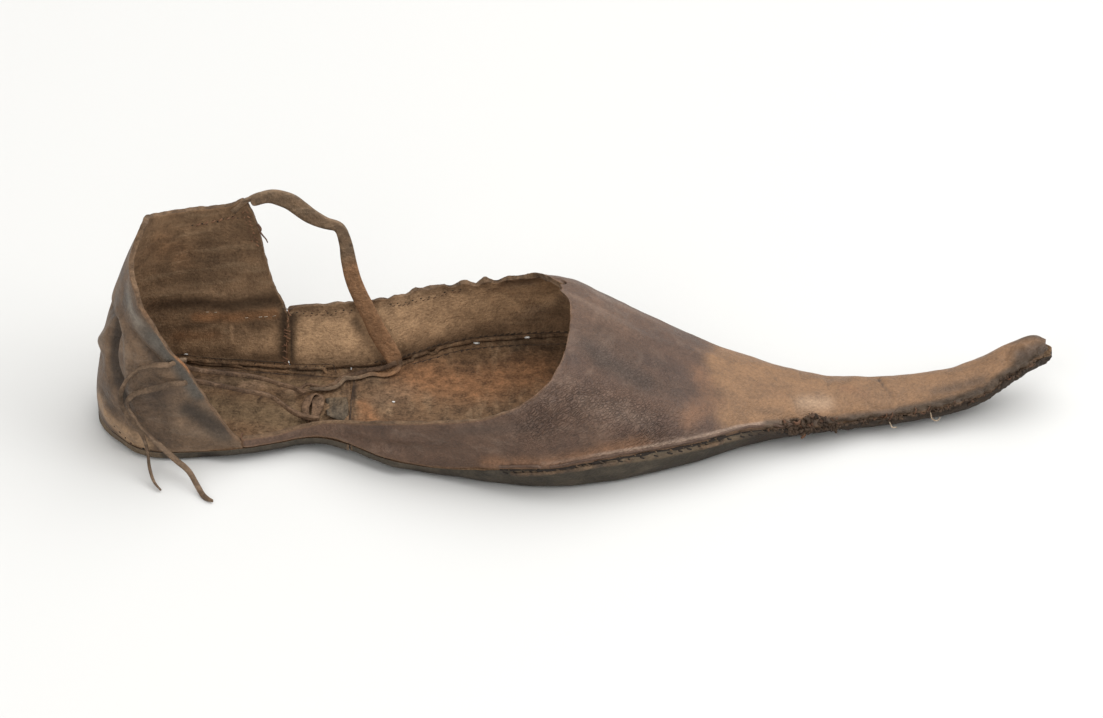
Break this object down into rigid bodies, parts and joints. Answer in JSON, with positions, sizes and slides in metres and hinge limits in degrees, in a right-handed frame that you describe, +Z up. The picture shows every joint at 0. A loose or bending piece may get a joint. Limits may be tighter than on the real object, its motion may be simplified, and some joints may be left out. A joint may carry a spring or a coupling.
{
  "type": "medieval shoe",
  "caption": "Right leather turnshoe with a long pointed toe, low vamp, high cut-away quarter, slack ankle strap and thin thongs through slits.",
  "frame": {"origin": "on the floor under the middle of the heel", "axes": "+X towards the toe, -Y towards the outer side of the right foot, +Z up"},
  "size_m": [0.3399, 0.0986, 0.084],
  "materials": {
    "sole_leather": "dry worn sole leather, orange brown inside and grey brown outside",
    "quarter_leather": "dark grey brown, creased, dull with soft highlights",
    "vamp_leather": "dark purple brown, finely wrinkled and slightly glossy, tan on the point",
    "strap_leather": "dry olive brown split leather"
  },
  "bodies": {
    "root": {"sole_seat": "sole_leather", "sole_forepart": "sole_leather", "upper_quarter": "quarter_leather", "upper_vamp": "vamp_leather", "ankle_strap": "strap_leather", "thong_upper": "strap_leather", "thong_lower": "strap_leather", "lace_end_upper": "strap_leather", "lace_end_lower": "strap_leather"}
  },
  "joints": []
}
